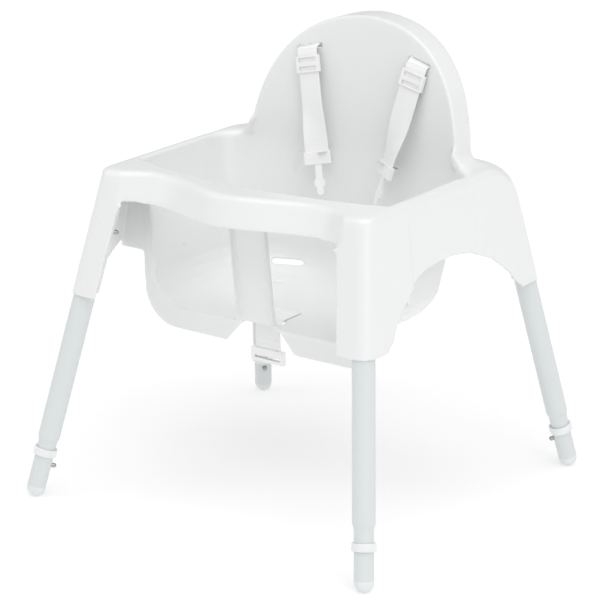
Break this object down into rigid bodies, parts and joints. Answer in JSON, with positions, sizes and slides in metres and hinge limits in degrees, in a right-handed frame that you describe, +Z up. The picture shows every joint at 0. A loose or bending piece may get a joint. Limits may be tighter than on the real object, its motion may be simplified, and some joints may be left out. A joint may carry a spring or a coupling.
{
  "type": "baby high chair",
  "caption": "Low baby high chair: white moulded seat with high hooded back, arched skirts, crotch post, splayed tube legs with snap buttons, and a webbing harness.",
  "frame": {"origin": "ground centre: the middle of the overall width and depth at floor level", "axes": "+Z up, the chair faces -Y, its own left hand side is +X"},
  "size_m": [0.536, 0.5152, 0.597],
  "materials": {
    "shell_plastic": "smooth glossy white moulding",
    "leg_paint": "satin white powder coat",
    "foot_plastic": "soft translucent white",
    "collar_plastic": "smooth white",
    "button_steel": "bright steel",
    "webbing": "woven white polyester",
    "buckle_plastic": "white acetal"
  },
  "bodies": {
    "chair": {"seat_shell": "shell_plastic", "leg_front_left": "leg_paint", "foot_cap_front_left": "foot_plastic", "leg_front_right": "leg_paint", "foot_cap_front_right": "foot_plastic", "leg_rear_left": "leg_paint", "foot_cap_rear_left": "foot_plastic", "leg_rear_right": "leg_paint", "foot_cap_rear_right": "foot_plastic", "shoulder_strap_left": "webbing", "strap_anchor_left": "buckle_plastic", "buckle_tongue_left": "buckle_plastic", "shoulder_strap_right": "webbing", "strap_anchor_right": "buckle_plastic", "buckle_tongue_right": "buckle_plastic", "crotch_strap": "webbing", "crotch_buckle": "buckle_plastic"},
    "foot_button_front_left": {"foot_button_front_left": "button_steel"},
    "socket_button_front_left": {"socket_button_front_left": "button_steel"},
    "collar_front_left": {"collar_front_left": "collar_plastic"},
    "foot_button_front_right": {"foot_button_front_right": "button_steel"},
    "socket_button_front_right": {"socket_button_front_right": "button_steel"},
    "collar_front_right": {"collar_front_right": "collar_plastic"},
    "foot_button_rear_left": {"foot_button_rear_left": "button_steel"},
    "socket_button_rear_left": {"socket_button_rear_left": "button_steel"},
    "collar_rear_left": {"collar_rear_left": "collar_plastic"},
    "foot_button_rear_right": {"foot_button_rear_right": "button_steel"},
    "socket_button_rear_right": {"socket_button_rear_right": "button_steel"},
    "collar_rear_right": {"collar_rear_right": "collar_plastic"},
    "strap_adjuster_left": {"strap_adjuster_left": "buckle_plastic"},
    "strap_adjuster_right": {"strap_adjuster_right": "buckle_plastic"}
  },
  "joints": [
    {"name": "foot_button_press_front_left", "type": "slide", "parent": "chair", "child": "foot_button_front_left", "axis": [0.7047, -0.6578, 0.2659], "range_m": [0, 0.0063], "stiffness_N_per_m": 800, "springref_m": -0.002},
    {"name": "socket_button_press_front_left", "type": "slide", "parent": "chair", "child": "socket_button_front_left", "axis": [0.7495, -0.608, 0.262], "range_m": [0, 0.0086], "stiffness_N_per_m": 800, "springref_m": -0.002},
    {"name": "collar_slide_front_left", "type": "slide", "parent": "chair", "child": "collar_front_left", "axis": [-0.1588, 0.219, 0.9627], "range_m": [-0.0008, 0.015]},
    {"name": "foot_button_press_front_right", "type": "slide", "parent": "chair", "child": "foot_button_front_right", "axis": [-0.7047, -0.6578, 0.2659], "range_m": [0, 0.0063], "stiffness_N_per_m": 800, "springref_m": -0.002},
    {"name": "socket_button_press_front_right", "type": "slide", "parent": "chair", "child": "socket_button_front_right", "axis": [-0.7495, -0.608, 0.262], "range_m": [0, 0.0086], "stiffness_N_per_m": 800, "springref_m": -0.002},
    {"name": "collar_slide_front_right", "type": "slide", "parent": "chair", "child": "collar_front_right", "axis": [0.1588, 0.219, 0.9627], "range_m": [-0.0083, 0.0075]},
    {"name": "foot_button_press_rear_left", "type": "slide", "parent": "chair", "child": "foot_button_rear_left", "axis": [0.7011, 0.664, 0.2597], "range_m": [0, 0.0063], "stiffness_N_per_m": 800, "springref_m": -0.002},
    {"name": "socket_button_press_rear_left", "type": "slide", "parent": "chair", "child": "socket_button_rear_left", "axis": [0.7503, 0.6099, 0.255], "range_m": [0, 0.0086], "stiffness_N_per_m": 800, "springref_m": -0.002},
    {"name": "collar_slide_rear_left", "type": "slide", "parent": "chair", "child": "collar_rear_left", "axis": [-0.1494, -0.2193, 0.9641], "range_m": [-0.0033, 0.0125]},
    {"name": "foot_button_press_rear_right", "type": "slide", "parent": "chair", "child": "foot_button_rear_right", "axis": [-0.7011, 0.664, 0.2597], "range_m": [0, 0.0063], "stiffness_N_per_m": 800, "springref_m": -0.002},
    {"name": "socket_button_press_rear_right", "type": "slide", "parent": "chair", "child": "socket_button_rear_right", "axis": [-0.7503, 0.6099, 0.255], "range_m": [0, 0.0086], "stiffness_N_per_m": 800, "springref_m": -0.002},
    {"name": "collar_slide_rear_right", "type": "slide", "parent": "chair", "child": "collar_rear_right", "axis": [0.1494, -0.2193, 0.9641], "range_m": [-0.0033, 0.0125]},
    {"name": "adjuster_slide_left", "type": "slide", "parent": "chair", "child": "strap_adjuster_left", "axis": [-0.2226, -0.1416, -0.9646], "range_m": [0, 0.035]},
    {"name": "adjuster_slide_right", "type": "slide", "parent": "chair", "child": "strap_adjuster_right", "axis": [0.2226, -0.1416, -0.9646], "range_m": [0, 0.035]}
  ]
}
